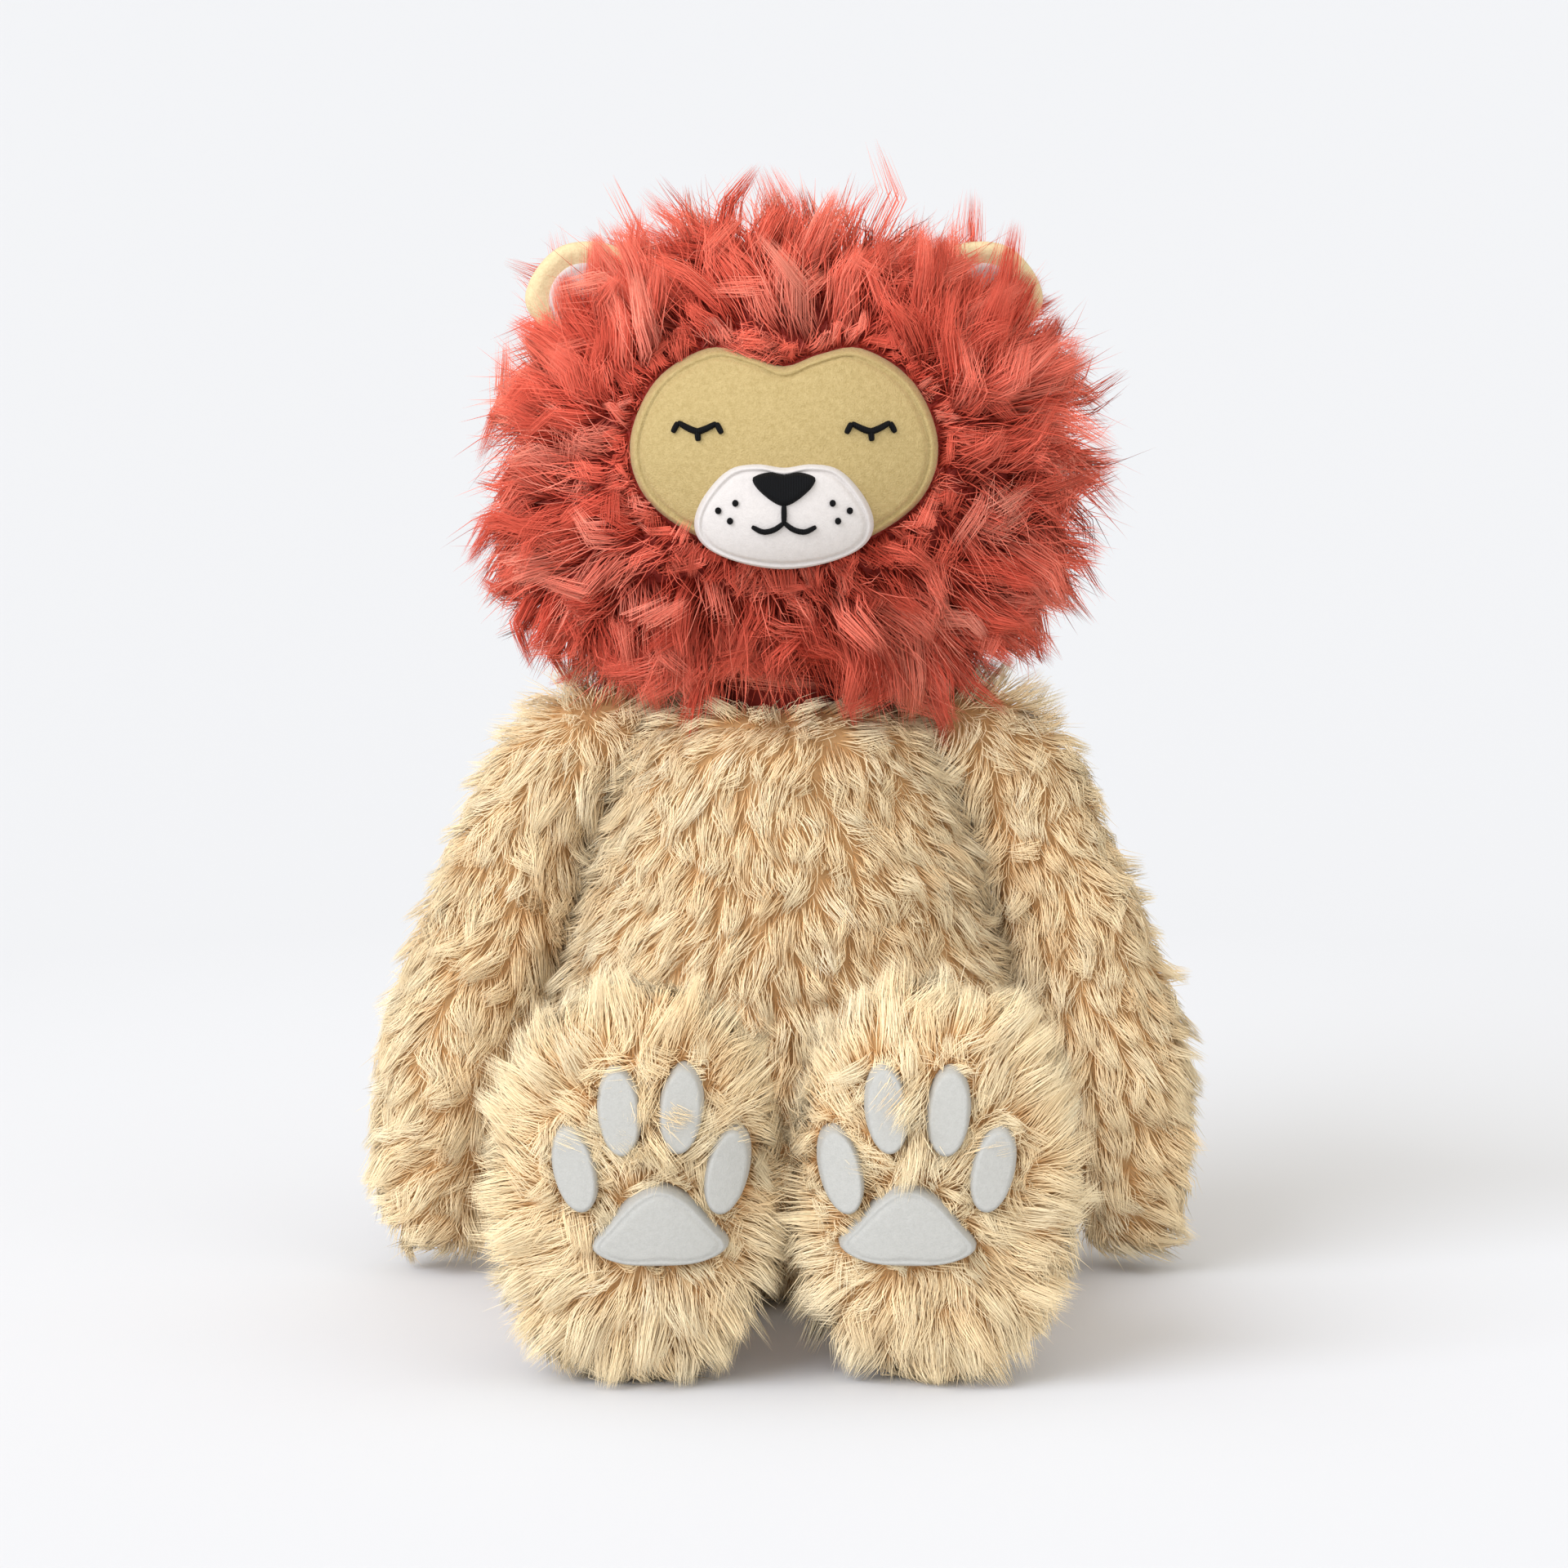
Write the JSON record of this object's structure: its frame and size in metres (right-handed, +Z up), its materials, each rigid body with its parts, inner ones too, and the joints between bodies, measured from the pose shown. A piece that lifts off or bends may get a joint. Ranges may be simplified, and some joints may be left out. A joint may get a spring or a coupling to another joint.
{
  "type": "plush lion",
  "caption": "Seated plush lion with a shaggy coral-red mane, closed stitched eyes, a long-pile beige body and paw pads on its soles; its head and limbs move.",
  "frame": {"origin": "on the flat of the seat, under the middle of the torso", "axes": "+Z up, the lion faces -Y; left (-X) and right (+X) are as seen from the front"},
  "size_m": [0.238, 0.2999, 0.315],
  "materials": {
    "body_fur": "matte",
    "mane_fur": "matte",
    "face_velour": "matte",
    "white_velour": "matte",
    "thread": "satin",
    "filling": "matte"
  },
  "bodies": {
    "torso": {"torso_front_panel": "body_fur", "torso_back_panel": "body_fur", "torso_stuffing": "filling"},
    "neck": {"neck_stuffing": "filling"},
    "head": {"head_front_panel": "mane_fur", "head_back_panel": "mane_fur", "head_stuffing": "filling", "face_patch": "face_velour", "muzzle_patch": "white_velour", "nose": "thread", "mouth": "thread", "left_whisker_dot_1": "thread", "right_whisker_dot_1": "thread", "left_whisker_dot_2": "thread", "right_whisker_dot_2": "thread", "left_whisker_dot_3": "thread", "right_whisker_dot_3": "thread", "left_eye": "thread", "right_eye": "thread"},
    "left_ear": {"left_ear": "face_velour", "left_ear_lining": "white_velour"},
    "left_arm": {"left_arm_cover": "body_fur", "left_arm_stuffing": "filling"},
    "left_leg": {"left_leg_cover": "body_fur", "left_leg_stuffing": "filling", "left_foot_cover": "body_fur", "left_foot_stuffing": "filling", "left_main_pad": "white_velour", "left_toe_pad_1": "white_velour", "left_toe_pad_2": "white_velour", "left_toe_pad_3": "white_velour", "left_toe_pad_4": "white_velour"},
    "right_ear": {"right_ear": "face_velour", "right_ear_lining": "white_velour"},
    "right_arm": {"right_arm_cover": "body_fur", "right_arm_stuffing": "filling"},
    "right_leg": {"right_leg_cover": "body_fur", "right_leg_stuffing": "filling", "right_foot_cover": "body_fur", "right_foot_stuffing": "filling", "right_main_pad": "white_velour", "right_toe_pad_1": "white_velour", "right_toe_pad_2": "white_velour", "right_toe_pad_3": "white_velour", "right_toe_pad_4": "white_velour"},
    "tail": {"tail": "body_fur", "tail_tuft": "mane_fur"}
  },
  "joints": [
    {"name": "head_turn", "type": "hinge", "parent": "torso", "child": "neck", "pos_m": [0, 0, 0.179], "axis": [0, 0, 1], "range_deg": [-60, 60]},
    {"name": "head_nod", "type": "hinge", "parent": "neck", "child": "head", "pos_m": [0, 0, 0.179], "axis": [1, 0, 0], "range_deg": [-15, 15]},
    {"name": "left_ear_bend", "type": "hinge", "parent": "head", "child": "left_ear", "pos_m": [-0.057, -0.01, 0.27439], "axis": [0.9004, 0, 0.435], "range_deg": [-20, 20]},
    {"name": "left_arm_swing", "type": "hinge", "parent": "torso", "child": "left_arm", "pos_m": [-0.0455, 0, 0.154], "axis": [-1, 0, 0], "range_deg": [-35, 90]},
    {"name": "left_leg_swing", "type": "hinge", "parent": "torso", "child": "left_leg", "pos_m": [-0.0395, -0.035, 0.029], "axis": [-1, 0, 0], "range_deg": [-80, 18]},
    {"name": "right_ear_bend", "type": "hinge", "parent": "head", "child": "right_ear", "pos_m": [0.057, -0.01, 0.27439], "axis": [0.9004, 0, -0.435], "range_deg": [-20, 20]},
    {"name": "right_arm_swing", "type": "hinge", "parent": "torso", "child": "right_arm", "pos_m": [0.0455, 0, 0.154], "axis": [-1, 0, 0], "range_deg": [-35, 90]},
    {"name": "right_leg_swing", "type": "hinge", "parent": "torso", "child": "right_leg", "pos_m": [0.0395, -0.035, 0.029], "axis": [-1, 0, 0], "range_deg": [-80, 18]},
    {"name": "tail_swing", "type": "hinge", "parent": "torso", "child": "tail", "pos_m": [0, 0.0605, 0.02], "axis": [0, 0, 1], "range_deg": [-35, 35]}
  ]
}
